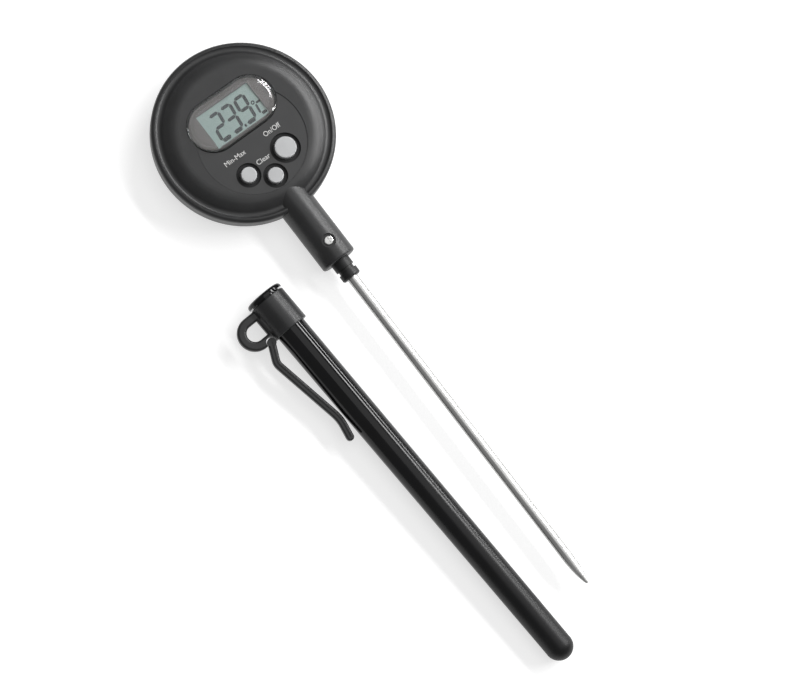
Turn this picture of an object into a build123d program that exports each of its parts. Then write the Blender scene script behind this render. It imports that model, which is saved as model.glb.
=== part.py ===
from build123d import *
import math
import os

# Pocket digital thermometer for darkroom baths, lying on its back beside its clip-on probe sheath.
# Millimetres. The origin is the centre of the round head, in the plane of its flat back.
# +Z leaves the display face, +X is the display's right, and the probe points along -Y.

# ---- Driving dimensions ----

# Head shell
HEAD_R = 30.3
HEAD_BASE_R = 28.9
WALL_LOW_Z = 6.0
SHELL_BASE_Z = 0.6
RIM_Z = 11.6
SHOULDER_R = 1.4
CHANNEL = (27.6, 11.1)
SLOPE_FOOT = (26.7, 11.45)
SLOPE_MID = (24.8, 12.75)
FACE_FLAT_R = 21.3
FACE_Z = 13.6
CAVITY_R = 27.9
CEILING_Z = 11.8
CEILING_R = 22.3
CORNER_R = 25.4
CORNER_Z = 9.6

# Label and display, in the face
LABEL_CENTRE = (0, -4.2)
LABEL_R = 18.0
LABEL_RECESS = 0.4
LABEL_THICK = 0.2
WINDOW_CENTRE = (0, 6.85)
WINDOW_SIZE = (32.3, 17.2)
WINDOW_BEVEL = 1.85
WINDOW_SEAT_Z = 12.6
WINDOW_EDGE_Z = 13.9
WINDOW_TOP_Z = 14.8
WINDOW_LEDGE = 1.0
LCD_CENTRE = (0, 6.3)
LCD_VIEW = (20.6, 12.2)
LCD_SIZE = (24.0, 13.6)
LCD_REAR_HEIGHT = 9.8
LCD_TOP_Z = 11.75
LCD_PLATE = 0.8
FIT_GAP = 0.1

# Buttons: place, cap radius
BUTTONS = {
    "power": (7.2, -12.45, 3.6),
    "min_max": (-8.0, -12.8, 2.6),
    "clear": (-1.0, -17.95, 2.6),
}
BUTTON_TOP_Z = 14.4
FLANGE_Z = (11.2, 11.8)
FLANGE_OUT = 0.75
COLLAR_GAP = 0.2
COLLAR_Z = (11.9, 12.7)
COLLAR_WALL = 1.2
MAT_Z = (9.6, 10.2)
DOME_R = (3.35, 2.0)
DOME_TOP_Z = 11.15
DOME_WALL = 0.35
PILL_R = 1.5
PILL_Z = (10.3, 10.9)

# Circuit board
BOARD_R = 22.5
BOARD_Z = (8.6, 9.6)
BOARD_SCREW_R = 20.3
BOARD_SCREW_ANGLES = (60, 120, 200, 340)

# Back cover and battery
COVER_R = 27.7
COVER_THICK = 2.0
COVER_SCREW_R = 24.9
COVER_SCREW_ANGLES = (45, 135, 225, 315)
BOSS_R = 2.0
BATTERY_CENTRE = (0, 9.5)
CELL_R = 5.8
CELL_Z = (2.4, 7.8)
CAP_FLANGE_R = 8.4
CAP_NECK_R = 7.3
CAP_Z = (0.2, 1.2, 2.3)
CAP_LUG_R = 8.1
CAP_LUG_Z = 1.8
CAP_UNLOCK_ANGLE = 75
WELL_R = 9.3
WELL_TOP_Z = 8.2

# Neck and probe, along -Y from the head's axis
PROBE_Z = 7.0
SLEEVE_R = 6.2
SLEEVE_START = 18.0
SLEEVE_END = 52.0
SLEEVE_EDGE = 0.9
HOLDER_START = 40.0
HOLDER_R = 4.5
HOLDER_BORE_GAP = 0.1
NOSE_R = 3.3
NOSE_END = 58.8
NOSE_GROOVE = (55.0, 56.3)
NOSE_GROOVE_R = 2.7
NECK_SCREW_Y = -45.05
NECK_SCREW_HEAD_R = 1.55
NECK_SCREW_POCKET_R = 2.35
NECK_SCREW_SEAT_Z = 12.3
PROBE_R = 1.9
PROBE_SEAT_R = 1.72
PROBE_BORE_R = 1.5
PROBE_START = 27.5
PROBE_TAPER_START = 173.0
PROBE_TIP = 183.7
PROBE_BORE_END = 172.0
SENSOR_AT = 168.0
LEAD_R = 0.25
LEAD_X = 0.6
LEAD_TURN_Y = -20.4

# Sheath: its axis leans 2.9 degrees from the probe, and it lies on its flange and its tip
SHEATH_MOUTH = (-27.05, -47.53)
SHEATH_LEAN = math.radians(2.876)
FLANGE_R = 6.6
FLANGE_S = (-1.65, 0.1)
TUBE_R = 5.25
TUBE_TIP_R = 4.7
TUBE_TAPER_S = (12.8, 146.0)
TUBE_END_S = 151.3
SHEATH_BORE_R = 3.4
SHEATH_BORE_END_S = 140.0
SHEATH_TILT = math.asin((FLANGE_R - TUBE_TIP_R) / TUBE_TAPER_S[1])
COLLAR_R = 6.4
COLLAR_S = (0.55, 12.8)
COLLAR_BORE_R = 5.3
LOOP_CENTRE = (-10.1, 6.65)
LOOP_R = 5.85
LOOP_HOLE_R = 2.75
LOOP_THICK = 3.0
CLIP_PATH = ((-7.8, 12.3), (-11.0, 18.6), (-6.75, 45.3), (-8.1, 51.8))
CLIP_WIDTH = 2.6
CLIP_THICK = 2.5
CLIP_BENDS = (4.0, 14.0)
CLIP_SOCKET_R = 1.9

CUT = 1.0                  # how far a cutting tool runs past the surface that it opens


# ---- Helpers ----

def disc(radius, low, high, centre=(0, 0)):
    """Upright cylinder between two heights."""
    return Pos(centre[0], centre[1], (low + high) / 2) * Cylinder(radius, high - low)


def ring(outer, inner, low, high, centre=(0, 0)):
    """Upright tube between two heights."""
    return disc(outer, low, high, centre) - disc(inner, low - CUT, high + CUT, centre)


def block(size, low, high, centre=(0, 0)):
    """Upright box between two heights."""
    return Pos(centre[0], centre[1], (low + high) / 2) * Box(size[0], size[1], high - low)


def stadium(size, low, high, centre):
    """Upright slab with half-round ends between two heights."""
    return Pos(centre[0], centre[1], low) * extrude(SlotOverall(size[0], size[1]), high - low)


def turned(outline):
    """Solid of revolution about Z; the outline holds (radius, height) edges."""
    return revolve(Plane.XZ * make_face(outline), Axis.Z)


def cap_arc(radius, low, high):
    """Arc of a ball's cap, from a rim of this radius at one height up to the axis at the other."""
    rise = high - low
    ball = (radius ** 2 + rise ** 2) / (2 * rise)
    half_turn = math.atan2(radius, ball - rise)
    middle = (ball * math.sin(half_turn / 2), high - ball + ball * math.cos(half_turn / 2))
    return ThreePointArc((radius, low), middle, (0, high))


def torus(major, minor, height, centre=(0, 0)):
    """O-ring lying level."""
    return Pos(centre[0], centre[1], height) * Torus(major, minor)


def around(radius, angles):
    """Points on a circle about the head's axis."""
    return [(radius * math.cos(math.radians(a)), radius * math.sin(math.radians(a))) for a in angles]


def smaller(size, margin):
    """A width and height with a margin taken off every side."""
    return (size[0] - 2 * margin, size[1] - 2 * margin)


def cross_recess(width, low, high):
    """Cross-shaped driver recess, cut into a screw's head."""
    slot = width * 0.22
    return block((width, slot), low, high) + block((slot, width), low, high)


def along_probe(shape):
    """Turn a shape drawn along +Z so that it runs along -Y on the probe's axis."""
    return Pos(0, 0, PROBE_Z) * Rot(90, 0, 0) * shape


def sheath_plane():
    """Frame of the sheath: its Z runs from the mouth to the tip, its Y is up."""
    level = math.cos(SHEATH_TILT)
    direction = (math.sin(SHEATH_LEAN) * level, -math.cos(SHEATH_LEAN) * level, -math.sin(SHEATH_TILT))
    across = (math.cos(SHEATH_LEAN), math.sin(SHEATH_LEAN), 0)
    return Plane(origin=(*SHEATH_MOUTH, FLANGE_R + 0.03), x_dir=across, z_dir=direction)


def button_place(name):
    x, y, radius = BUTTONS[name]
    return (x, y), radius


# ---- Head ----

def front_housing():
    """Round shell with a dished face, a rim, and the neck sleeve, in one moulding."""
    wall_top = (HEAD_R, RIM_Z - SHOULDER_R)
    crest = (HEAD_R - SHOULDER_R, RIM_Z)
    corner = SHOULDER_R * (1 - math.sqrt(0.5))
    shell = turned([
        Line((0, SHELL_BASE_Z), (HEAD_BASE_R, SHELL_BASE_Z)),
        Line((HEAD_BASE_R, SHELL_BASE_Z), (HEAD_R, WALL_LOW_Z)),
        Line((HEAD_R, WALL_LOW_Z), wall_top),
        ThreePointArc(wall_top, (HEAD_R - corner, RIM_Z - corner), crest),
        ThreePointArc(crest, CHANNEL, SLOPE_FOOT),
        ThreePointArc(SLOPE_FOOT, SLOPE_MID, (FACE_FLAT_R, FACE_Z)),
        Line((FACE_FLAT_R, FACE_Z), (0, FACE_Z)),
        Line((0, FACE_Z), (0, SHELL_BASE_Z)),
    ])
    edge = SLEEVE_EDGE * (1 - math.sqrt(0.5))
    sleeve = along_probe(turned([
        Line((0, SLEEVE_START), (SLEEVE_R, SLEEVE_START)),
        Line((SLEEVE_R, SLEEVE_START), (SLEEVE_R, SLEEVE_END - SLEEVE_EDGE)),
        ThreePointArc((SLEEVE_R, SLEEVE_END - SLEEVE_EDGE), (SLEEVE_R - edge, SLEEVE_END - edge),
                      (SLEEVE_R - SLEEVE_EDGE, SLEEVE_END)),
        Line((SLEEVE_R - SLEEVE_EDGE, SLEEVE_END), (0, SLEEVE_END)),
        Line((0, SLEEVE_END), (0, SLEEVE_START)),
    ]))
    cavity = turned(Polyline((0, -CUT), (CAVITY_R, -CUT), (CAVITY_R, CORNER_Z - 0.4), (CORNER_R, CORNER_Z),
                             (CEILING_R, CEILING_Z), (0, CEILING_Z), close=True))
    body = shell + sleeve - cavity
    boss_base_z = COVER_THICK + FIT_GAP
    for angle, (x, y) in zip(COVER_SCREW_ANGLES, around(COVER_SCREW_R, COVER_SCREW_ANGLES)):
        body += disc(BOSS_R, boss_base_z, CEILING_Z - 0.6, (x, y))
        rib = Pos(COVER_SCREW_R + BOSS_R, 0, (boss_base_z + CORNER_Z) / 2)
        body += Rot(0, 0, angle) * rib * Box(2 * BOSS_R, 1.6, CORNER_Z - boss_base_z)
        body -= disc(0.95, COVER_THICK - CUT, 8.6, (x, y))
    for place in around(BOARD_SCREW_R, BOARD_SCREW_ANGLES):
        body += disc(1.6, BOARD_Z[1], CEILING_Z + 0.4, place)
        body -= disc(0.85, BOARD_Z[1] - CUT, CEILING_Z, place)
    body -= along_probe(disc(HOLDER_R + HOLDER_BORE_GAP, HOLDER_START - FIT_GAP, SLEEVE_END + CUT))
    body -= along_probe(disc(PROBE_R + 0.2, SLEEVE_START, HOLDER_START + CUT))
    body -= disc(LABEL_R + FIT_GAP, FACE_Z - LABEL_RECESS, FACE_Z + CUT, LABEL_CENTRE)
    body -= stadium(smaller(WINDOW_SIZE, -FIT_GAP), WINDOW_SEAT_Z, FACE_Z + CUT, WINDOW_CENTRE)
    body -= stadium(smaller(WINDOW_SIZE, WINDOW_LEDGE), CEILING_Z - CUT, WINDOW_SEAT_Z + CUT, WINDOW_CENTRE)
    for name in BUTTONS:
        centre, radius = button_place(name)
        body -= disc(radius + COLLAR_GAP + COLLAR_WALL + 0.05, CEILING_Z - CUT, FACE_Z + CUT, centre)
    body -= disc(NECK_SCREW_POCKET_R, NECK_SCREW_SEAT_Z, FACE_Z + CUT, (0, NECK_SCREW_Y))
    body -= disc(1.1, PROBE_Z + HOLDER_R - CUT, NECK_SCREW_SEAT_Z + CUT, (0, NECK_SCREW_Y))
    return body


def face_label():
    """Printed round label, cut out round the window and the buttons."""
    low = FACE_Z - LABEL_RECESS
    label = disc(LABEL_R, low, low + LABEL_THICK, LABEL_CENTRE)
    label -= stadium(smaller(WINDOW_SIZE, -2 * FIT_GAP), low - CUT, FACE_Z + CUT, WINDOW_CENTRE)
    for name in BUTTONS:
        centre, radius = button_place(name)
        label -= disc(radius + COLLAR_GAP + COLLAR_WALL + 0.1, low - CUT, FACE_Z + CUT, centre)
    return label


def display_window():
    """Clear window whose bevelled edge stands above the face."""
    base = stadium(WINDOW_SIZE, WINDOW_SEAT_Z, WINDOW_EDGE_Z, WINDOW_CENTRE)
    plateau = smaller(WINDOW_SIZE, WINDOW_BEVEL)
    x, y = WINDOW_CENTRE
    bevel = loft([Pos(x, y, WINDOW_EDGE_Z) * SlotOverall(*WINDOW_SIZE),
                  Pos(x, y, WINDOW_TOP_Z) * SlotOverall(*plateau)])
    return base + bevel


def display_mask():
    """Border plate under the window, with the opening that the display shows through."""
    low = CEILING_Z + 0.2
    high = WINDOW_SEAT_Z - FIT_GAP
    plate = stadium(smaller(WINDOW_SIZE, WINDOW_LEDGE + FIT_GAP), low, high, WINDOW_CENTRE)
    return plate - block(LCD_VIEW, low - CUT, high + CUT, LCD_CENTRE)


def lcd_glass():
    """Two bonded glass plates; the front one overhangs at both contact edges."""
    middle = LCD_TOP_Z - LCD_PLATE
    front = block(LCD_SIZE, middle, LCD_TOP_Z, LCD_CENTRE)
    return front + block((LCD_SIZE[0], LCD_REAR_HEIGHT), middle - LCD_PLATE, middle, LCD_CENTRE)


def lcd_reflector():
    """Thin reflecting sheet behind the display."""
    top = LCD_TOP_Z - 2 * LCD_PLATE - 0.02
    return block((LCD_SIZE[0] - 1, LCD_REAR_HEIGHT - 0.4), top - 0.12, top, LCD_CENTRE)


def lcd_connectors():
    """Two elastomer strips between the display's contact edges and the board."""
    step = (LCD_SIZE[1] + LCD_REAR_HEIGHT) / 4 + 0.05
    top = LCD_TOP_Z - LCD_PLATE
    x, y = LCD_CENTRE
    return Compound([block((21, 1.3), BOARD_Z[1], top, (x, y + side * step)) for side in (-1, 1)])


# ---- Keypad ----

def keypad_mat():
    """Silicone mat: a sheet on the board, and a collar that rises round each button."""
    sheet = Pos(0, -15.2, MAT_Z[0]) * extrude(Rectangle(27, 14.6), MAT_Z[1] - MAT_Z[0])
    mat = sheet & disc(BOARD_R - 0.3, *MAT_Z)
    for name in BUTTONS:
        centre, radius = button_place(name)
        collar_r = radius + COLLAR_GAP + COLLAR_WALL
        mat += disc(collar_r, MAT_Z[0], COLLAR_Z[1], centre)
    for name in BUTTONS:
        centre, radius = button_place(name)
        mat -= disc(radius + COLLAR_GAP, COLLAR_Z[0] - CUT, COLLAR_Z[1] + CUT, centre)
        mat -= disc(radius + FLANGE_OUT + 0.2, MAT_Z[1], COLLAR_Z[0], centre)
        mat -= disc(2.9, MAT_Z[0] - CUT, MAT_Z[1] + CUT, centre)
    return mat


def dome(name):
    """Thin conical web that carries one button and springs it back."""
    centre, _ = button_place(name)
    (foot, top), low, high = DOME_R, MAT_Z[1], DOME_TOP_Z
    web = turned(Polyline((foot - DOME_WALL, low), (foot, low), (top, high), (top - DOME_WALL, high),
                          close=True))
    return Pos(*centre, 0) * web


def button(name):
    """Button cap: round key, retaining flange, and the stem that carries the contact pill."""
    centre, radius = button_place(name)
    key = disc(radius, FLANGE_Z[0], BUTTON_TOP_Z)
    key = fillet(key.edges().group_by(Axis.Z)[-1], 0.3)
    key += disc(radius + FLANGE_OUT, *FLANGE_Z)
    key += disc(PILL_R, PILL_Z[1], FLANGE_Z[0])
    return Pos(*centre, 0) * key


def pill(name):
    """Carbon pill under one button, which closes the board's contact."""
    return disc(PILL_R, *PILL_Z, button_place(name)[0])


# ---- Board ----

def circuit_board():
    board = disc(BOARD_R, *BOARD_Z)
    for place in around(BOARD_SCREW_R, BOARD_SCREW_ANGLES):
        board -= disc(0.9, BOARD_Z[0] - CUT, BOARD_Z[1] + CUT, place)
    for side in (-1, 1):
        board -= disc(LEAD_R + 0.05, BOARD_Z[0] - CUT, BOARD_Z[1] + CUT, (side * LEAD_X, LEAD_TURN_Y))
    return board


def board_screws():
    screws = []
    for place in around(BOARD_SCREW_R, BOARD_SCREW_ANGLES):
        head = disc(1.4, BOARD_Z[0] - 0.9, BOARD_Z[0])
        head -= cross_recess(1.6, BOARD_Z[0] - 0.9 - CUT, BOARD_Z[0] - 0.5)
        screws.append(Pos(*place, 0) * (head + disc(0.8, BOARD_Z[0], CEILING_Z - 0.3)))
    return Compound(screws)


def chip_blob():
    """Resin drop over the bare chip, on the board's back."""
    blob = turned([Line((0, 0), (3.6, 0)), cap_arc(3.6, 0, 1.4), Line((0, 1.4), (0, 0))])
    return Pos(-12.5, -6.5, BOARD_Z[0]) * Rot(180, 0, 0) * blob


def crystal():
    """Timing crystal in its small can, lying on the board's back."""
    return Pos(11.5, -7.5, BOARD_Z[0] - 1.05) * Rot(0, 90, 25) * Cylinder(1.0, 6.0)


def board_components():
    """Resistors and capacitors in two rows on the board's back."""
    pitch = 3.1
    parts = []
    for row, y in enumerate((-10.8, -13.8)):
        for column in range(4):
            x = (column - 1.5) * pitch + row * 0.6
            parts.append(block((2.0, 1.25), BOARD_Z[0] - 0.6, BOARD_Z[0], (x, y)))
    return Compound(parts)


# ---- Back cover and battery ----

def bayonet_track():
    """Room for the battery cap's lugs to turn in, and the two notches they enter by."""
    outer = CAP_LUG_R + 0.15
    track = disc(outer, CAP_LUG_Z - FIT_GAP, CAP_Z[2] + FIT_GAP)
    notches = Rot(0, 0, -CAP_UNLOCK_ANGLE) * block((3.4, 20), 0, CAP_Z[2])
    return track + (disc(outer, CAP_Z[1], CAP_Z[2]) & notches)


def back_cover():
    """Flat back with four screw pockets, and the round well that holds the cell."""
    cover = disc(COVER_R, 0, COVER_THICK)
    cover = chamfer(cover.edges().group_by(Axis.Z)[0], 0.4)
    cover -= ring(COVER_R + CUT, COVER_R - 0.6, 0.9, 1.5)
    cover += disc(WELL_R, COVER_THICK - 0.5, WELL_TOP_Z, BATTERY_CENTRE)
    for place in around(COVER_SCREW_R, COVER_SCREW_ANGLES):
        cover -= disc(1.85, -CUT, 1.25, place)
        cover -= disc(1.05, -CUT, COVER_THICK + CUT, place)
    cover -= disc(CAP_FLANGE_R + 0.2, -CUT, CAP_Z[1] + FIT_GAP, BATTERY_CENTRE)
    cover -= disc(CAP_NECK_R + 0.3, 0, CAP_Z[2] + FIT_GAP, BATTERY_CENTRE)
    cover -= Pos(*BATTERY_CENTRE, 0) * bayonet_track()
    cover -= disc(CELL_R + 0.2, 0, WELL_TOP_Z + CUT, BATTERY_CENTRE)
    notch = (BATTERY_CENTRE[0], BATTERY_CENTRE[1] + WELL_R - 1)
    cover -= block((4.6, 6), 4.4, WELL_TOP_Z + CUT, notch)
    return cover


def back_cover_screws():
    screws = []
    for place in around(COVER_SCREW_R, COVER_SCREW_ANGLES):
        head = disc(1.7, 0.3, 1.25) - cross_recess(2.0, 0.3 - CUT, 0.8)
        screws.append(Pos(*place, 0) * (head + disc(0.9, 1.25, 8.0)))
    return Compound(screws)


def back_cover_seal():
    return torus(COVER_R - 0.22, 0.28, 1.2)


def button_cell():
    """Alkaline button cell, its smaller negative face up against the spring contact."""
    low, high = CELL_Z
    return turned(Polyline((0, low), (CELL_R - 0.3, low), (CELL_R, low + 0.3), (CELL_R, high - 0.9),
                           (CELL_R - 0.4, high - 0.5), (CELL_R - 1.0, high - 0.4),
                           (CELL_R - 1.3, high), (0, high), close=True)).moved(Location((*BATTERY_CENTRE, 0)))


def battery_spring_contact():
    """Dished leaf on the board's back that presses on the cell's negative face."""
    leaf = disc(2.2, CELL_Z[1] + 0.05, CELL_Z[1] + 0.3, BATTERY_CENTRE)
    return leaf + disc(0.7, CELL_Z[1] + 0.3, BOARD_Z[0], BATTERY_CENTRE)


def battery_side_contact():
    """Curved leaf that touches the side of the cell."""
    inner = CELL_R + 0.05
    leaf = ring(inner + 0.35, inner, 4.8, BOARD_Z[0], BATTERY_CENTRE)
    return leaf & block((4.0, 6), 4.8, BOARD_Z[0], (BATTERY_CENTRE[0], BATTERY_CENTRE[1] + CELL_R))


def battery_cap():
    """Bayonet cap with a coin slot, a groove for its seal and two locking lugs."""
    cap = disc(CAP_FLANGE_R, CAP_Z[0], CAP_Z[1])
    cap = chamfer(cap.edges().group_by(Axis.Z)[0], 0.3)
    cap += disc(CAP_NECK_R, CAP_Z[1], CAP_Z[2])
    cap -= ring(CAP_NECK_R + CUT, CAP_NECK_R - 0.45, CAP_Z[1] + 0.05, CAP_Z[1] + 0.55)
    cap += disc(CAP_LUG_R, CAP_LUG_Z, CAP_Z[2]) & block((3.0, 20), CAP_LUG_Z, CAP_Z[2])
    cap -= block((12.5, 1.9), CAP_Z[0] - CUT, CAP_Z[0] + 0.75)
    return Pos(*BATTERY_CENTRE, 0) * cap


def battery_cap_seal():
    return torus(CAP_NECK_R - 0.2, 0.22, CAP_Z[1] + 0.3, BATTERY_CENTRE)


# ---- Probe ----

def probe_holder():
    """Holder that grips the probe in the sleeve; its grooved nose plugs into the sheath."""
    outline = Polyline((0, HOLDER_START), (HOLDER_R, HOLDER_START), (HOLDER_R, SLEEVE_END),
                       (NOSE_R, SLEEVE_END), (NOSE_R, NOSE_GROOVE[0]), (NOSE_GROOVE_R, NOSE_GROOVE[0]),
                       (NOSE_GROOVE_R, NOSE_GROOVE[1]), (NOSE_R, NOSE_GROOVE[1]), (NOSE_R, NOSE_END - 0.4),
                       (NOSE_R - 0.4, NOSE_END), (0, NOSE_END), close=True)
    holder = turned(outline) - disc(PROBE_SEAT_R + 0.02, HOLDER_START - CUT, NOSE_END + CUT)
    holder -= ring(HOLDER_R + CUT, HOLDER_R - 0.7, 49.4, 50.6)
    holder = along_probe(holder)
    return holder - disc(1.03, PROBE_Z + PROBE_R, PROBE_Z + HOLDER_R + CUT, (0, NECK_SCREW_Y))


def probe_seal():
    """O-ring between the holder and the sleeve."""
    return along_probe(torus(HOLDER_R - 0.33, 0.36, 50.0))


def neck_screw():
    """Cross-recess screw that clamps the holder in the sleeve."""
    low = NECK_SCREW_SEAT_Z + 0.02
    high = low + 0.75
    head = disc(NECK_SCREW_HEAD_R, low, high)
    head = fillet(head.edges().group_by(Axis.Z)[-1], 0.35)
    head -= cross_recess(1.9, high - 0.45, high + CUT)
    return Pos(0, NECK_SCREW_Y, 0) * (head + disc(1.0, PROBE_Z + PROBE_R + 0.4, low))


def probe_tube():
    """Stainless tube, sized down where the holder grips it, closed and drawn to a blunt point."""
    span = PROBE_TIP - PROBE_TAPER_START
    end_r = 0.5
    tube = turned([
        Line((0, PROBE_START), (PROBE_SEAT_R, PROBE_START)),
        Line((PROBE_SEAT_R, PROBE_START), (PROBE_SEAT_R, NOSE_END)),
        Line((PROBE_SEAT_R, NOSE_END), (PROBE_R, NOSE_END)),
        Line((PROBE_R, NOSE_END), (PROBE_R, PROBE_TAPER_START)),
        ThreePointArc((PROBE_R, PROBE_TAPER_START), (PROBE_R - 0.42, PROBE_TAPER_START + span * 0.55),
                      (end_r, PROBE_TIP - 0.35)),
        cap_arc(end_r, PROBE_TIP - 0.35, PROBE_TIP),
        Line((0, PROBE_TIP), (0, PROBE_START)),
    ])
    return along_probe(tube - disc(PROBE_BORE_R, PROBE_START - CUT, PROBE_BORE_END))


def sensor_bead():
    return along_probe(Pos(0, 0, SENSOR_AT) * Sphere(0.8))


def lead_pair(radius, start, end):
    """Two straight cores along the probe."""
    return [along_probe(disc(radius, start, end, (side * LEAD_X, 0))) for side in (-1, 1)]


def sensor_leads():
    """Two wires from the bead, along the probe, and up into the board."""
    bend = 1.0
    wires = []
    for side in (-1, 1):
        x = side * LEAD_X
        path = FilletPolyline((x, -SENSOR_AT + 0.75, PROBE_Z), (x, LEAD_TURN_Y, PROBE_Z),
                              (x, LEAD_TURN_Y, BOARD_Z[1]), radius=bend)
        wires.append(sweep(Plane(origin=path @ 0, z_dir=path % 0) * Circle(LEAD_R), path=path))
    return Compound(wires)


def lead_sleeves():
    """Shrink sleeves on the wires, behind the bead."""
    start, end = SENSOR_AT - 18, SENSOR_AT - 4
    sleeves = zip(lead_pair(LEAD_R + 0.22, start, end), lead_pair(LEAD_R + 0.02, start - CUT, end + CUT))
    return Compound([outer - inner for outer, inner in sleeves])


def tip_potting():
    """Heat-conducting resin that fixes the bead in the tip."""
    start = SENSOR_AT - 3.5
    potting = along_probe(disc(PROBE_BORE_R - 0.03, start, PROBE_BORE_END - 0.05))
    room = along_probe(Pos(0, 0, SENSOR_AT) * Sphere(0.9))
    for core in lead_pair(LEAD_R + 0.04, start - CUT, SENSOR_AT):
        room += core
    return potting - room


# ---- Sheath ----

def sheath_tube():
    """Glossy tube with a flanged mouth, which plugs onto the probe holder's nose."""
    start, end = TUBE_TAPER_S
    front, back = FLANGE_S
    tube = turned([
        Line((0, front), (5.2, front)),
        ThreePointArc((5.2, front), (FLANGE_R - 0.38, front + 0.35), (FLANGE_R, front + 1.1)),
        Line((FLANGE_R, front + 1.1), (FLANGE_R, back)),
        Line((FLANGE_R, back), (TUBE_R, back)),
        Line((TUBE_R, back), (TUBE_R, start)),
        Line((TUBE_R, start), (TUBE_TIP_R, end)),
        cap_arc(TUBE_TIP_R, end, TUBE_END_S),
        Line((0, TUBE_END_S), (0, front)),
    ])
    tube -= disc(SHEATH_BORE_R, front - CUT, SHEATH_BORE_END_S)
    return sheath_plane().location * tube


def clip_collar():
    """Collar that slides on against the flange, with the lanyard loop and the clip's socket."""
    collar = disc(COLLAR_R, *COLLAR_S)
    collar = chamfer(collar.edges().filter_by(GeomType.CIRCLE), 0.25)
    x, s = LOOP_CENTRE
    outline = Pos(x, s) * Circle(LOOP_R) + Pos(x / 2, s) * Rectangle(-x, 2 * LOOP_R)
    hole = Pos(x, s) * Circle(LOOP_HOLE_R) + Pos(x + 1.5, s) * Rectangle(3.0, 2 * LOOP_HOLE_R)
    loop = extrude(Plane.XZ * (outline - hole), LOOP_THICK / 2, both=True)
    loop = fillet(loop.edges().filter_by(Plane.XZ), 0.9)
    collar += loop
    collar -= disc(COLLAR_BORE_R, COLLAR_S[0] - CUT, COLLAR_S[1] + CUT)
    root_x, root_s = CLIP_PATH[0]
    collar -= Pos(root_x, 0, root_s) * Rot(90, 0, 0) * Cylinder(CLIP_SOCKET_R, 4 * LOOP_THICK)
    return sheath_plane().location * collar


def pocket_clip():
    """Springy clip arm that bows out from the collar and bears on the tube."""
    path = FilletPolyline(*[(x, 0, s) for x, s in CLIP_PATH], radius=CLIP_BENDS)
    start = Plane(origin=path @ 0, x_dir=(0, 1, 0), z_dir=path % 0)
    arm = sweep(start * RectangleRounded(CLIP_THICK, CLIP_WIDTH, 0.7), path=path)
    end_x, end_s = CLIP_PATH[-1]
    root_x, root_s = CLIP_PATH[0]
    upright = Rot(90, 0, 0)
    end = fillet((upright * Cylinder(CLIP_WIDTH / 2, CLIP_THICK)).edges().filter_by(GeomType.CIRCLE), 0.6)
    root = upright * Cylinder(1.5, CLIP_THICK)
    arm += Pos(end_x, 0, end_s) * end
    arm += Pos(root_x, 0, root_s) * root
    groove = Plane(origin=(path @ 0) + Vector(0, CLIP_THICK / 2, 0), x_dir=(0, 1, 0), z_dir=path % 0)
    arm -= sweep(groove * Rectangle(0.6, 0.55), path=path.moved(Location((0, CLIP_THICK / 2, 0))))
    return sheath_plane().location * arm


# ---- Write every piece ----

PIECES = {
    "front_housing": front_housing,
    "face_label": face_label,
    "display_window": display_window,
    "display_mask": display_mask,
    "lcd_glass": lcd_glass,
    "lcd_reflector": lcd_reflector,
    "lcd_connectors": lcd_connectors,
    "keypad_mat": keypad_mat,
    "circuit_board": circuit_board,
    "board_screws": board_screws,
    "chip_blob": chip_blob,
    "crystal": crystal,
    "board_components": board_components,
    "back_cover": back_cover,
    "back_cover_screws": back_cover_screws,
    "back_cover_seal": back_cover_seal,
    "button_cell": button_cell,
    "battery_spring_contact": battery_spring_contact,
    "battery_side_contact": battery_side_contact,
    "battery_cap": battery_cap,
    "battery_cap_seal": battery_cap_seal,
    "probe_holder": probe_holder,
    "probe_seal": probe_seal,
    "neck_screw": neck_screw,
    "probe_tube": probe_tube,
    "sensor_bead": sensor_bead,
    "sensor_leads": sensor_leads,
    "lead_sleeves": lead_sleeves,
    "tip_potting": tip_potting,
    "sheath_tube": sheath_tube,
    "clip_collar": clip_collar,
    "pocket_clip": pocket_clip,
}

os.makedirs("parts", exist_ok=True)
for node, make in PIECES.items():
    export_step(make(), f"parts/{node}.step")
for key in BUTTONS:
    export_step(button(key), f"parts/{key}_button.step")
    export_step(dome(key), f"parts/{key}_dome.step")
    export_step(pill(key), f"parts/{key}_contact_pill.step")
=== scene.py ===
"""Looks for the darkroom thermometer: materials, window, display segments, legends, light and camera."""
import math

import bpy
from mathutils import Matrix, Vector


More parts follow.
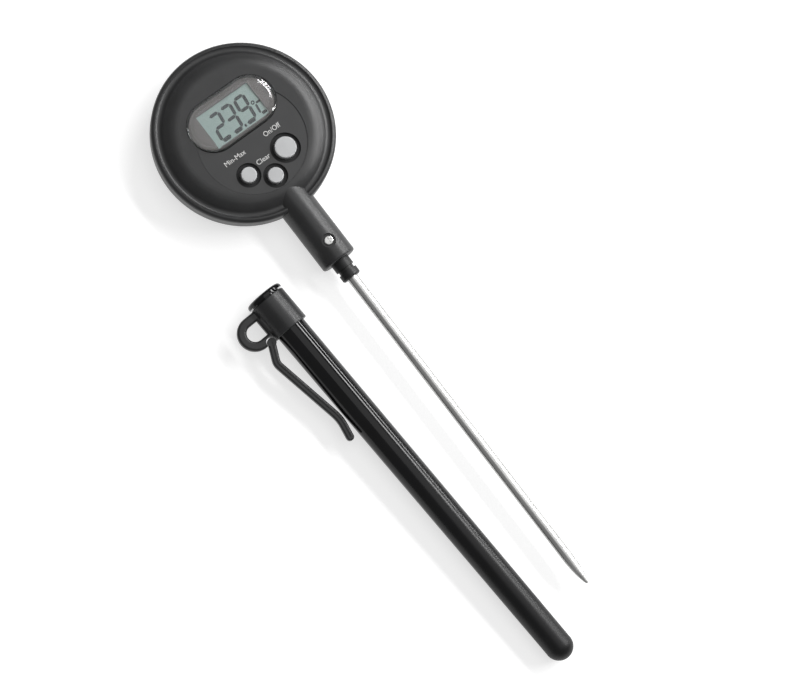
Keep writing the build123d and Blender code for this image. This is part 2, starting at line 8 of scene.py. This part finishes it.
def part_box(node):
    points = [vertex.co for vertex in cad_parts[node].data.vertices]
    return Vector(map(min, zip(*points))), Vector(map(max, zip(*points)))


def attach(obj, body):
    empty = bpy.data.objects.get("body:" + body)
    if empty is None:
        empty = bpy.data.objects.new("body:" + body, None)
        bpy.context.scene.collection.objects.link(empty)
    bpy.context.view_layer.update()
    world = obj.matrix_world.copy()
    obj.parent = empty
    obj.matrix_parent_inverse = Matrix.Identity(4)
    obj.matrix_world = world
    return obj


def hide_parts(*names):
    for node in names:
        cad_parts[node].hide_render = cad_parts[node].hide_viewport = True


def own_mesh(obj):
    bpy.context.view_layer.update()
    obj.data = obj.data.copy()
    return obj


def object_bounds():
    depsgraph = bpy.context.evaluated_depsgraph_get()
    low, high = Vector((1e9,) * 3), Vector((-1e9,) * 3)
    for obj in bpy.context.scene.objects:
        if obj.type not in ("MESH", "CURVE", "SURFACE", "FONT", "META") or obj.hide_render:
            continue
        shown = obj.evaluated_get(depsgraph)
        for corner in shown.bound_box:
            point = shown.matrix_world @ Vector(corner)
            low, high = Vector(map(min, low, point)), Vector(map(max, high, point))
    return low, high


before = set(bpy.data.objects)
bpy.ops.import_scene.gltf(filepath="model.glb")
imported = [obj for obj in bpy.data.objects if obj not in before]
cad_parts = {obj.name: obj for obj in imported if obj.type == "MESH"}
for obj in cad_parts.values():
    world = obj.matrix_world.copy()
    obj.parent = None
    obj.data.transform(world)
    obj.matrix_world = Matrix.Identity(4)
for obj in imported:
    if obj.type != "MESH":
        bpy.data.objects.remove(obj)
CAD_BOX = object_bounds()
MM = 0.001

# ---- Places taken from the CAD nodes, in millimetres ----

def node_box(node):
    """Lowest and highest corners of a node, in millimetres."""
    low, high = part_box(node)
    return Vector(low) / MM, Vector(high) / MM


WINDOW_LOW, WINDOW_HIGH = node_box("display_window")
WINDOW_CENTRE = (WINDOW_LOW + WINDOW_HIGH) / 2
LCD_LOW, LCD_HIGH = node_box("lcd_glass")
LABEL_TOP = node_box("face_label")[1].z
TUBE_LOW, TUBE_HIGH = node_box("sheath_tube")
PROBE_TIP_Y = node_box("probe_tube")[0].y


# ---- Material nodes ----

# Where satin gives way to gloss, in millimetres from the tube's mouth and from the stem's tip.
TUBE_SATIN_END = 40
STEM_SATIN_START = 14
STEM_SATIN_END = 4


class Graph:
    """A material's node tree, with short calls for the nodes that are used here."""

    def __init__(self, name):
        self.material = bpy.data.materials.new(name)
        self.material.use_nodes = True
        self.tree = self.material.node_tree
        self.shader = self.tree.nodes["Principled BSDF"]
        self.place = self.tree.nodes.new("ShaderNodeTexCoord").outputs["Object"]

    def node(self, kind):
        return self.tree.nodes.new(kind)

    def link(self, source, target):
        self.tree.links.new(source, target)

    def put(self, **values):
        """Constants on the shader's own sockets; underscores stand for spaces."""
        for key, value in values.items():
            self.shader.inputs[key.replace("_", " ")].default_value = value

    def stretched(self, scale):
        """Object coordinates scaled differently along each axis."""
        mapping = self.node("ShaderNodeMapping")
        mapping.inputs["Scale"].default_value = scale
        self.link(self.place, mapping.inputs["Vector"])
        return mapping.outputs["Vector"]

    def noise(self, scale, detail=3.0, rough=0.55, vector=None):
        made = self.node("ShaderNodeTexNoise")
        made.inputs["Scale"].default_value = scale
        made.inputs["Detail"].default_value = detail
        made.inputs["Roughness"].default_value = rough
        self.link(vector or self.place, made.inputs["Vector"])
        return made.outputs["Fac"]

    def cells(self, scale):
        made = self.node("ShaderNodeTexVoronoi")
        made.inputs["Scale"].default_value = scale
        self.link(self.place, made.inputs["Vector"])
        return made.outputs["Distance"]

    def ranged(self, value, low, high, start=0.3, end=0.7):
        """A 0 to 1 pattern brought to a range."""
        made = self.node("ShaderNodeMapRange")
        for key, number in (("From Min", start), ("From Max", end), ("To Min", low), ("To Max", high)):
            made.inputs[key].default_value = number
        self.link(value, made.inputs["Value"])
        return made.outputs["Result"]

    def along(self, axis, start, end, low, high):
        """A value that changes along one axis, with the places in millimetres."""
        split = self.node("ShaderNodeSeparateXYZ")
        self.link(self.place, split.inputs["Vector"])
        return self.ranged(split.outputs[axis], low, high, start * MM, end * MM)

    def added(self, first, second):
        made = self.node("ShaderNodeMath")
        made.operation = "ADD"
        self.link(first, made.inputs[0])
        self.link(second, made.inputs[1])
        return made.outputs["Value"]

    def colours(self, value, first, second, start=0.35, end=0.65):
        """Two colours blended by a pattern."""
        ramp = self.node("ShaderNodeValToRGB")
        for element, place, colour in zip(ramp.color_ramp.elements, (start, end), (first, second)):
            element.position = place
            element.color = (*colour, 1)
        self.link(value, ramp.inputs["Fac"])
        return ramp.outputs["Color"]

    def colour(self, output):
        self.link(output, self.shader.inputs["Base Color"])

    def rough(self, output):
        self.link(output, self.shader.inputs["Roughness"])

    def bump(self, height, strength, depth_mm):
        made = self.node("ShaderNodeBump")
        made.inputs["Strength"].default_value = strength
        made.inputs["Distance"].default_value = depth_mm * MM
        self.link(height, made.inputs["Height"])
        self.link(made.outputs["Normal"], self.shader.inputs["Normal"])


def shade(colour, factor):
    """A colour made darker or lighter."""
    return tuple(min(channel * factor, 1.0) for channel in colour)


def moulded(name, colour, rough, grain_mm, depth_mm, spread=0.12, shine=0.5):
    """Spark-eroded moulded plastic: fine pitting, faint mottling and handling marks."""
    g = Graph(name)
    mottle = g.noise(160, 4)
    g.colour(g.colours(mottle, shade(colour, 1 - spread), shade(colour, 1 + spread)))
    handled = g.noise(45, 6, 0.65)
    g.rough(g.ranged(handled, rough - 0.05, rough + 0.07))
    pits = g.noise(1 / (grain_mm * MM), 2, 0.6)
    g.bump(pits, 0.5, depth_mm)
    g.put(IOR=1.5, Specular_IOR_Level=shine)
    return g.material


def polished_black(name, colour):
    """Polished tube: a deep gloss that turns satin towards the tip, with faint rubbed patches."""
    g = Graph(name)
    rubs = g.noise(110, 3, 0.5)
    g.colour(g.colours(g.noise(90), shade(colour, 0.8), shade(colour, 1.25)))
    gloss = g.along("Y", TUBE_LOW.y, TUBE_HIGH.y - TUBE_SATIN_END, 0.44, 0.08)
    g.rough(g.added(gloss, g.ranged(rubs, 0.0, 0.02, 0.35, 0.7)))
    g.bump(rubs, 0.02, 0.001)
    g.put(IOR=1.5, Specular_IOR_Level=0.3)
    return g.material


def rubbery(name, colour, rough=0.75):
    """Silicone or rubber: matte, dusty, with a fine bloom."""
    g = Graph(name)
    bloom = g.noise(220, 5, 0.7)
    g.colour(g.colours(bloom, shade(colour, 0.7), shade(colour, 1.5)))
    g.rough(g.ranged(bloom, rough - 0.08, rough + 0.08))
    g.bump(g.noise(5200, 2), 0.35, 0.01)
    g.put(IOR=1.41)
    return g.material


def stem_steel(name):
    """Polished tube steel with fine rings round it, satin over the last stretch before the tip."""
    g = Graph(name)
    rings = g.noise(1, 2, 0.6, g.stretched((40, 5200, 40)))
    smears = g.noise(1, 4, 0.6, g.stretched((900, 45, 900)))
    g.colour(g.colours(smears, (0.46, 0.46, 0.455), (0.6, 0.6, 0.59), 0.3, 0.7))
    satin = g.along("Y", PROBE_TIP_Y + STEM_SATIN_START, PROBE_TIP_Y + STEM_SATIN_END, 0.0, 0.16)
    fine = g.ranged(rings, 0.27, 0.32)
    g.rough(g.added(fine, satin))
    g.bump(rings, 0.05, 0.002)
    g.put(Metallic=1.0)
    return g.material


def metal(name, colour, rough, stretch=(1500, 300, 1500)):
    """Plated or pressed metal with drawing marks."""
    g = Graph(name)
    marks = g.noise(1, 4, 0.6, g.stretched(stretch))
    g.colour(g.colours(marks, shade(colour, 0.86), shade(colour, 1.08)))
    g.rough(g.ranged(marks, rough - 0.06, rough + 0.1))
    g.bump(marks, 0.2, 0.006)
    g.put(Metallic=1.0)
    return g.material


def clear_window(name):
    """Clear acrylic with the lightest polishing haze."""
    g = Graph(name)
    haze = g.noise(420, 6, 0.7)
    g.colour(g.colours(haze, (0.93, 0.95, 0.94), (0.98, 0.99, 0.985)))
    g.rough(g.ranged(haze, 0.06, 0.07))
    g.put(IOR=1.46, Transmission_Weight=1.0)
    return g.material


def display_panel(name):
    """Reflective display: pale grey-green, with painted light that makes it lighter towards +X where the key
    and strip lean in from, and its fine cell pattern.
    """
    g = Graph(name)
    # Painted light: the panel is made lighter towards +X, the side the key and strip lights lean from; random
    # patches are added on top.
    across = g.along("X", LCD_LOW.x, LCD_HIGH.x, 0.2, 0.7)
    patches = g.ranged(g.noise(120), -0.12, 0.12)
    lit_side_and_patches = g.added(across, patches)
    g.colour(g.colours(lit_side_and_patches, (0.36, 0.47, 0.45), (0.44, 0.56, 0.54), 0.1, 0.9))
    g.rough(g.ranged(g.noise(3000, 2), 0.22, 0.34))
    g.bump(g.cells(4200), 0.08, 0.004)
    g.put(IOR=1.5)
    return g.material


def laminate(name):
    """Green solder mask over faint copper runs."""
    g = Graph(name)
    runs = g.noise(1, 1, 0.4, g.stretched((900, 140, 300)))
    g.colour(g.colours(runs, (0.012, 0.085, 0.04), (0.03, 0.16, 0.07), 0.48, 0.52))
    g.rough(g.ranged(g.noise(800), 0.28, 0.42))
    g.bump(runs, 0.3, 0.02)
    g.put(IOR=1.55)
    return g.material


def ink(name, colour, rough):
    """Screen print or display segment: nearly flat, with the screen's faint unevenness."""
    g = Graph(name)
    film = g.noise(2600, 3, 0.6)
    g.colour(g.colours(film, shade(colour, 0.88), shade(colour, 1.06)))
    g.rough(g.ranged(film, rough - 0.05, rough + 0.08))
    g.bump(film, 0.2, 0.004)
    g.put(IOR=1.48)
    return g.material


MATERIALS = {
    "shell": moulded("shell_plastic", (0.015, 0.0152, 0.0158), 0.37, 0.24, 0.03),
    "label": moulded("label_film", (0.021, 0.0212, 0.0218), 0.45, 0.12, 0.01, 0.08),
    "clip": moulded("clip_plastic", (0.015, 0.0152, 0.016), 0.36, 0.14, 0.012, 0.12, 0.4),
    "holder": moulded("holder_plastic", (0.008, 0.0082, 0.0088), 0.4, 0.14, 0.01, 0.12, 0.35),
    "button": moulded("button_plastic", (0.41, 0.415, 0.42), 0.46, 0.12, 0.008, 0.04),
    "mask": moulded("mask_print", (0.15, 0.135, 0.135), 0.42, 0.1, 0.004, 0.05),
    "wire": moulded("lead_insulation", (0.55, 0.07, 0.05), 0.45, 0.2, 0.004),
    "ceramic": moulded("ceramic_parts", (0.3, 0.22, 0.15), 0.55, 0.1, 0.006),
    "gloss": polished_black("sheath_gloss", (0.0035, 0.0035, 0.004)),
    "silicone": rubbery("black_silicone", (0.008, 0.008, 0.0085)),
    "carbon": rubbery("carbon_pill", (0.012, 0.012, 0.012), 0.85),
    "zebra": rubbery("connector_rubber", (0.2, 0.2, 0.21), 0.6),
    "resin": moulded("black_resin", (0.01, 0.01, 0.01), 0.2, 0.4, 0.01),
    "stem": stem_steel("probe_steel"),
    "screw": metal("screw_steel", (0.6, 0.6, 0.59), 0.17, (700, 700, 700)),
    "cell": metal("cell_steel", (0.7, 0.7, 0.69), 0.26),
    "brass": metal("contact_metal", (0.78, 0.6, 0.33), 0.3),
    "foil": metal("reflector_foil", (0.75, 0.76, 0.75), 0.45),
    "window": clear_window("window_clear"),
    "bead": clear_window("sensor_glass"),
    "lcd": display_panel("lcd_panel"),
    "board": laminate("board_laminate"),
    "print": ink("legend_print", (0.6, 0.6, 0.59), 0.5),
    "segment": ink("lcd_segments", (0.018, 0.028, 0.034), 0.4),
}

NODES_BY_MATERIAL = {
    "shell": ("front_housing", "back_cover", "battery_cap"),
    "label": ("face_label",),
    "clip": ("clip_collar", "pocket_clip", "lead_sleeves"),
    "holder": ("probe_holder",),
    "button": ("power_button", "min_max_button", "clear_button"),
    "mask": ("display_mask",),
    "wire": ("sensor_leads",),
    "ceramic": ("board_components",),
    "gloss": ("sheath_tube",),
    "silicone": ("keypad_mat", "power_dome", "min_max_dome", "clear_dome", "back_cover_seal",
                 "battery_cap_seal", "probe_seal"),
    "carbon": ("power_contact_pill", "min_max_contact_pill", "clear_contact_pill"),
    "zebra": ("lcd_connectors",),
    "resin": ("chip_blob", "tip_potting"),
    "stem": ("probe_tube",),
    "screw": ("neck_screw", "board_screws", "back_cover_screws"),
    "cell": ("button_cell", "crystal"),
    "brass": ("battery_spring_contact", "battery_side_contact"),
    "foil": ("lcd_reflector",),
    "window": ("display_window",),
    "bead": ("sensor_bead",),
    "lcd": ("lcd_glass",),
    "board": ("circuit_board",),
}


def finish_node(node, key):
    """Give a CAD node one material."""
    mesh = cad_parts[node].data
    mesh.materials.clear()
    mesh.materials.append(MATERIALS[key])


for key, nodes in NODES_BY_MATERIAL.items():
    for node in nodes:
        finish_node(node, key)


# ---- Mesh pieces ----

LENS_SEAT_GAP = 0.02
LENS_FOOT = ((0.25, 0.0), (0.0, 0.2))
LENS_CROWN = ((0.0, -1.05), (0.1, -0.85), (0.3, -0.77), (1.2, -0.29), (1.5, -0.25), (2.3, -0.02), (3.2, 0.0))
LENS_SMOOTH_DEG = 8


def add_piece(name, points, faces, key, body, smooth_deg=None):
    """Mesh piece from points in millimetres, with its material, slot and body."""
    mesh = bpy.data.meshes.new(name)
    mesh.from_pydata([Vector(p) * MM for p in points], [], faces)
    mesh.materials.append(MATERIALS[key])
    mesh.validate()
    piece = bpy.data.objects.new(name, mesh)
    bpy.context.scene.collection.objects.link(piece)
    if smooth_deg:
        mesh.shade_smooth()
        mesh.set_sharp_from_angle(angle=math.radians(smooth_deg))
    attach(piece, body)
    return piece


def stadium_ring(half_width, half_height, centre, steps=40):
    """Outline of a slab with half-round ends."""
    straight = half_width - half_height
    ring = []
    for side, start in ((1, -90), (-1, 90)):
        for step in range(steps + 1):
            turn = math.radians(start + 180 * step / steps)
            ring.append((centre.x + side * straight + half_height * math.cos(turn),
                         centre.y + half_height * math.sin(turn)))
    return ring


def window_lens():
    """Window with a rolled rim and two polished facets round its top, in place of the bevelled node.

    The foot's heights are over the seat and the crown's are from the top; each comes after its inset.
    """
    half = (WINDOW_HIGH - WINDOW_LOW) / 2
    seat = WINDOW_LOW.z + LENS_SEAT_GAP
    profile = [(inset, seat + rise) for inset, rise in LENS_FOOT]
    profile += [(inset, WINDOW_HIGH.z + drop) for inset, drop in LENS_CROWN]
    points = []
    for inset, height in profile:
        ring = stadium_ring(half.x - inset, half.y - inset, WINDOW_CENTRE)
        points += [(x, y, height) for x, y in ring]
    count = len(ring)
    faces = [list(range(count))[::-1]]
    for level in range(len(profile) - 1):
        for step in range(count):
            ahead = (step + 1) % count
            low, high = level * count, (level + 1) * count
            faces.append((low + step, low + ahead, high + ahead, high + step))
    faces.append(list(range((len(profile) - 1) * count, len(profile) * count)))
    piece = add_piece("window_lens", points, faces, "window", "thermometer", LENS_SMOOTH_DEG)
    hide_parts("display_window")


# ---- Turned pieces, in millimetres ----

PROBE_Z = 7.0
PROBE_R = 1.9
PROBE_SEAT_R = 1.72
PROBE_BORE_R = 1.5
PROBE_POINT_R = 0.5
PROBE_POINT_LENGTH = 0.35
PROBE_OGIVE_SHARE = 0.55
PROBE_OGIVE_INSET = 0.42
PROBE_REACH = {"start": 27.5, "seat_end": 58.8, "bore_end": 172.0, "taper": 173.0, "tip": 183.7}

FLANGE_R = 6.6
FLANGE_LIP_R = 5.2
FLANGE_CROWN = 1.1
FLANGE_BEND = 0.35
FLANGE_BEND_INSET = 0.38
FLANGE_FLOOR_GAP = 0.03
TUBE_R = 5.25
TUBE_TIP_R = 4.7
TUBE_BORE_R = 3.4
TUBE_REACH = {
    "mouth": -1.65, "flange_end": 0.1, "taper": 12.8, "tip_start": 146.0, "tip": 151.3, "bore_end": 140.0,
}
SHEATH_MOUTH = Vector((-27.05, -47.53, FLANGE_R + FLANGE_FLOOR_GAP))
SHEATH_LEAN = math.radians(2.876)
SHEATH_TILT = math.asin((FLANGE_R - TUBE_TIP_R) / TUBE_REACH["tip_start"])

ON_AXIS_R = 0.001
TURNED_SMOOTH_DEG = 30


def bend(first, middle, last, steps=8):
    """Smooth curve through three points, without its first point."""
    points = []
    for step in range(1, steps + 1):
        t = step / steps
        weights = (2 * (t - 0.5) * (t - 1), 4 * t * (1 - t), 2 * t * (t - 0.5))
        points.append(tuple(sum(w * p[k] for w, p in zip(weights, (first, middle, last))) for k in (0, 1)))
    return points


def ball_end(low, high, radius, steps=14):
    """Ball-shaped end from a rim of this radius up to the axis, without the rim itself."""
    rise = high - low
    ball = (radius ** 2 + rise ** 2) / (2 * rise)
    rim = math.atan2(radius, low - (high - ball))
    turns = [rim * (1 - step / steps) for step in range(1, steps + 1)]
    return [(high - ball + ball * math.cos(t), ball * math.sin(t)) for t in turns]


def turned(name, profile, origin, way, key, body, sides=96):
    """Closed piece turned about an axis, from a profile of (distance along, radius)."""
    side = way.cross(Vector((0, 0, 1))).normalized()
    other = way.cross(side)
    points, rings, faces = [], [], []
    for along, radius in profile:
        if radius < ON_AXIS_R:
            rings.append([len(points)] * sides)
            points.append(origin + way * along)
            continue
        rings.append(range(len(points), len(points) + sides))
        for step in range(sides):
            angle = 2 * math.pi * step / sides
            outward = side * math.cos(angle) + other * math.sin(angle)
            points.append(origin + way * along + outward * radius)
    for level, ring in enumerate(rings):
        ahead = rings[(level + 1) % len(rings)]
        for step in range(sides):
            after = (step + 1) % sides
            corners = (ring[step], ring[after], ahead[after], ahead[step])
            faces.append(list(dict.fromkeys(corners)))
    faces = [face for face in faces if len(face) > 2]
    return add_piece(name, points, faces, key, body, TURNED_SMOOTH_DEG)


def stem():
    """Probe stem with a smooth ogive point."""
    reach = PROBE_REACH
    span = reach["tip"] - reach["taper"]
    shoulder = (reach["taper"], PROBE_R)
    belly = (reach["taper"] + span * PROBE_OGIVE_SHARE, PROBE_R - PROBE_OGIVE_INSET)
    end = (reach["tip"] - PROBE_POINT_LENGTH, PROBE_POINT_R)
    profile = [(reach["start"], PROBE_BORE_R), (reach["start"], PROBE_SEAT_R),
               (reach["seat_end"], PROBE_SEAT_R), (reach["seat_end"], PROBE_R), shoulder]
    profile += bend(shoulder, belly, end, 16)
    profile += ball_end(end[0], reach["tip"], end[1], 6)
    profile += [(reach["bore_end"], 0.0), (reach["bore_end"], PROBE_BORE_R)]
    origin = Vector((0, 0, PROBE_Z))
    way = Vector((0, -1, 0))
    turned("probe_stem", profile, origin, way, "stem", "thermometer")
    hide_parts("probe_tube")


def sheath():
    """Sheath tube with its rounded flange, slight taper, ball end and bore."""
    reach = TUBE_REACH
    mouth = reach["mouth"]
    level = math.cos(SHEATH_TILT)
    way = Vector((math.sin(SHEATH_LEAN) * level, -math.cos(SHEATH_LEAN) * level, -math.sin(SHEATH_TILT)))
    lip = (mouth, FLANGE_LIP_R)
    middle = (mouth + FLANGE_BEND, FLANGE_R - FLANGE_BEND_INSET)
    crown = (mouth + FLANGE_CROWN, FLANGE_R)
    profile = [(mouth, TUBE_BORE_R), lip]
    profile += bend(lip, middle, crown)
    profile += [(reach["flange_end"], FLANGE_R), (reach["flange_end"], TUBE_R), (reach["taper"], TUBE_R),
                (reach["tip_start"], TUBE_TIP_R)]
    profile += ball_end(reach["tip_start"], reach["tip"], TUBE_TIP_R)
    profile += [(reach["bore_end"], 0.0), (reach["bore_end"], TUBE_BORE_R)]
    turned("sheath_body", profile, SHEATH_MOUTH, way, "gloss", "sheath")
    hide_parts("sheath_tube")


# ---- Display segments ----

SEGMENT_WIDTH = 1.12
SEGMENT_GAP = 0.08
DIGIT_SIZE = (3.5, 8.6)
SLANT = math.tan(math.radians(7))
SEGMENTS = {"2": "abged", "3": "abgcd", "9": "abcdfg"}
SEGMENT_FILM = (0.01, 0.04)
DIGIT_SPACE = 1.15
READING = "239"
READING_PLACES = (0.0, 1.0, 2.16)
READING_INSET = 4.3
READING_DROP = 4.9
POINT_PLACE = 2
POINT_SHIFT = (-0.05, -0.1)
POINT_HALF = 0.35
UNIT_PLACE = 3
UNIT_SHIFT = 1.75
UNIT_WIDTH = 0.75
UNIT_BARS = (((0.2, 0), (2.2, 0)), ((0.2, 3.8), (2.2, 3.8)), ((0, 0.2), (0, 3.6)))
DEGREE_SHIFT = (-0.6, 4.5)
DEGREE_R = 0.5
DEGREE_WIDTH = 0.4
DEGREE_STEPS = 20


def bar(start, end, width):
    """Flat bar with pointed ends between two points."""
    start, end = Vector(start), Vector(end)
    way = (end - start).normalized()
    side = Vector((-way.y, way.x)) * width / 2
    tip = way * width / 2
    return [start, start + tip - side, end - tip - side, end, end - tip + side, start + tip + side]


def digit_bars(digit):
    """Bars of one seven-segment figure, from its lower left corner."""
    width, height = DIGIT_SIZE
    gap = SEGMENT_GAP
    corners = {"tl": (0, height), "tr": (width, height), "ml": (0, height / 2), "mr": (width, height / 2),
               "bl": (0, 0), "br": (width, 0)}
    ends = {"a": ("tl", "tr"), "b": ("mr", "tr"), "c": ("br", "mr"), "d": ("bl", "br"), "e": ("bl", "ml"),
            "f": ("ml", "tl"), "g": ("ml", "mr")}
    bars = []
    for name in SEGMENTS[digit]:
        start, end = (Vector(corners[corner]) for corner in ends[name])
        way = (end - start).normalized() * gap
        bars.append(bar(start + way, end - way, SEGMENT_WIDTH))
    return bars


def ring_bars(centre, radius, width, steps):
    """Ring drawn as short quads."""
    bars = []
    for step in range(steps):
        turns = [math.radians(360 * (step + k) / steps) for k in (0, 1)]
        ways = [Vector((math.cos(turn), math.sin(turn))) for turn in turns]
        inner = [centre + (radius - width / 2) * way for way in ways]
        outer = [centre + (radius + width / 2) * way for way in ways]
        bars.append([inner[0], outer[0], outer[1], inner[1]])
    return bars


def reading_shapes(base):
    """Upright outlines of three figures, a point, and the degree mark with its letter."""
    shapes = []
    pitch = DIGIT_SIZE[0] + DIGIT_SPACE
    for place, digit in zip(READING_PLACES, READING):
        offset = base + Vector((pitch * place, 0))
        shapes += [[offset + p for p in shape] for shape in digit_bars(digit)]
    point = base + Vector((pitch * POINT_PLACE + POINT_SHIFT[0], POINT_SHIFT[1]))
    corners = ((-1, -1), (1, -1), (1, 1), (-1, 1))
    shapes.append([point + Vector(corner) * POINT_HALF for corner in corners])
    unit = base + Vector((pitch * UNIT_PLACE + UNIT_SHIFT, 0))
    shapes += ring_bars(unit + Vector(DEGREE_SHIFT), DEGREE_R, DEGREE_WIDTH, DEGREE_STEPS)
    for start, end in UNIT_BARS:
        shapes.append(bar(unit + Vector(start), unit + Vector(end), UNIT_WIDTH))
    return shapes


def lcd_digits():
    """Reading on the display, leaned and drawn as a thin film on the glass."""
    base = Vector((LCD_LOW.x + READING_INSET, (LCD_LOW.y + LCD_HIGH.y) / 2 - READING_DROP))
    points, faces = [], []
    for shape in reading_shapes(base):
        leaned = [(p.x + (p.y - base.y) * SLANT, p.y) for p in shape]
        low = len(points)
        count = len(leaned)
        for film in SEGMENT_FILM:
            points += [(x, y, LCD_HIGH.z + film) for x, y in leaned]
        faces.append([low + k for k in range(count)][::-1])
        faces.append([low + count + k for k in range(count)])
        for k in range(count):
            ahead = (k + 1) % count
            faces.append((low + k, low + ahead, low + count + ahead, low + count + k))
    add_piece("lcd_digits", points, faces, "segment", "thermometer")


# ---- Legends ----

LEGEND_FILM = (0.005, 0.045)
LEGENDS = {
    "legend_min_max": ("Min-Max", (-12.2, -4.2), (-6.5, -4.85)),
    "legend_on_off": ("On/Off", (4.1, 10.5), (-5.85, -4.15)),
    "legend_clear": ("Clear", (-3.5, 1.6), (-12.05, -10.4)),
}


def legend(name, words, across, upward):
    """Printed words that fill a box on the label."""
    curve = bpy.data.curves.new(name, "FONT")
    curve.body = words
    curve.extrude = 0.01
    curve.resolution_u = 6
    letters = bpy.data.objects.new(name + "_outline", curve)
    bpy.context.scene.collection.objects.link(letters)
    bpy.context.view_layer.update()
    mesh = bpy.data.meshes.new_from_object(letters)
    bpy.data.objects.remove(letters)
    corners = [[f(v.co[axis] for v in mesh.vertices) for f in (min, max)] for axis in range(3)]
    target = (across, upward, [LABEL_TOP + film for film in LEGEND_FILM])
    for vertex in mesh.vertices:
        for axis in range(3):
            (start, end), (to_start, to_end) = corners[axis], target[axis]
            share = (vertex.co[axis] - start) / (end - start)
            vertex.co[axis] = (to_start + share * (to_end - to_start)) * MM
    mesh.materials.clear()
    mesh.materials.append(MATERIALS["print"])
    piece = bpy.data.objects.new(name, mesh)
    bpy.context.scene.collection.objects.link(piece)
    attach(piece, "thermometer")


# ---- Keypad domes ----

def soft_dome(key):
    """Keypad dome copied from its CAD node as its own mesh on the thermometer, in place of the node."""
    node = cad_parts[key + "_dome"]
    dome = bpy.data.objects.new(key + "_soft_dome", node.data.copy())
    bpy.context.scene.collection.objects.link(dome)
    dome.matrix_world = node.matrix_world
    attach(dome, "thermometer")
    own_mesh(dome)
    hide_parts(key + "_dome")


window_lens()
stem()
sheath()
lcd_digits()
for key in ("power", "min_max", "clear"):
    soft_dome(key)
for name, (words, across, upward) in LEGENDS.items():
    legend(name, words, across, upward)


# ---- Floor and light ----

FLOOR_HALF = 3.0
FLOOR_GAP = 0.0001
FLOOR_GLOW = 0.62
CENTRE = Vector((-0.005, -0.085, 0.005))
WORLD_STRENGTH = 0.3


def floor():
    """Plain pale floor under the object."""
    g = Graph("floor_pale")
    g.colour(g.colours(g.noise(4), (0.5, 0.5, 0.5), (0.53, 0.53, 0.53)))
    g.rough(g.ranged(g.noise(8), 0.8, 0.9))
    g.put(Emission_Color=(1, 1, 1, 1), Emission_Strength=FLOOR_GLOW)
    mesh = bpy.data.meshes.new("floor")
    half = FLOOR_HALF
    corners = [(-half, -half, 0), (half, -half, 0), (half, half, 0), (-half, half, 0)]
    mesh.from_pydata(corners, [], [(0, 1, 2, 3)])
    mesh.materials.append(g.material)
    plane = bpy.data.objects.new("floor", mesh)
    plane.location.z = CAD_BOX[0][2] - FLOOR_GAP
    bpy.context.scene.collection.objects.link(plane)


def placed(place, side, up, back):
    """World matrix of something at a place that looks along minus its third axis."""
    return Matrix.Translation(place) @ Matrix((side, up, back)).transposed().to_4x4()


def softbox(name, lean_deg, distance, size, power):
    """Area light over the object, leaning from straight up towards +X; its long side lies along Y."""
    light = bpy.data.lights.new(name, "AREA")
    light.shape = "RECTANGLE"
    light.size, light.size_y = size
    light.energy = power
    lean = math.radians(lean_deg)
    back = Vector((math.sin(lean), 0, math.cos(lean))).normalized()
    side = Vector((0, 1, 0)).cross(back).normalized()
    lamp = bpy.data.objects.new(name, light)
    lamp.matrix_world = placed(CENTRE + back * distance, side, back.cross(side), back)
    bpy.context.scene.collection.objects.link(lamp)


def studio():
    """Soft key and a slim strip from the right, with a dim wide light overhead."""
    world = bpy.data.worlds.new("studio")
    world.use_nodes = True
    background = world.node_tree.nodes["Background"]
    background.inputs["Color"].default_value = (1, 1, 1, 1)
    background.inputs["Strength"].default_value = WORLD_STRENGTH
    bpy.context.scene.world = world
    softbox("key", lean_deg=46, distance=1.1, size=(0.14, 1.2), power=11)
    softbox("strip", lean_deg=70, distance=1.1, size=(0.06, 1.2), power=7)
    softbox("top", lean_deg=8, distance=1.6, size=(1.2, 1.8), power=6)
    bpy.context.scene.view_settings.view_transform = "Standard"


# ---- Camera ----

CAMERA_TARGET = Vector((-2.17, -87.02, 7.0)) * MM
CAMERA_DISTANCE = 0.8
CAMERA_LEAN = math.radians(13)
CAMERA_HEADING = math.radians(12)
CAMERA_ROLL = math.radians(51.986)
CAMERA_LENS = 110.9
CAMERA_SENSOR = 36
CAMERA_CLIP = (0.01, 20)


def camera():
    """Camera over the object, leaning a little towards the sheath's side."""
    lean = math.sin(CAMERA_LEAN)
    back = Vector((-lean * math.cos(CAMERA_HEADING), -lean * math.sin(CAMERA_HEADING), math.cos(CAMERA_LEAN)))
    top = Vector((math.cos(CAMERA_ROLL), math.sin(CAMERA_ROLL), 0))
    right = (-back).cross(top).normalized()
    data = bpy.data.cameras.new("camera")
    data.lens = CAMERA_LENS
    data.sensor_width = CAMERA_SENSOR
    data.clip_start, data.clip_end = CAMERA_CLIP
    made = bpy.data.objects.new("camera", data)
    made.matrix_world = placed(CAMERA_TARGET + back * CAMERA_DISTANCE, right, back.cross(right), back)
    bpy.context.scene.collection.objects.link(made)
    bpy.context.scene.camera = made


floor()
studio()
camera()
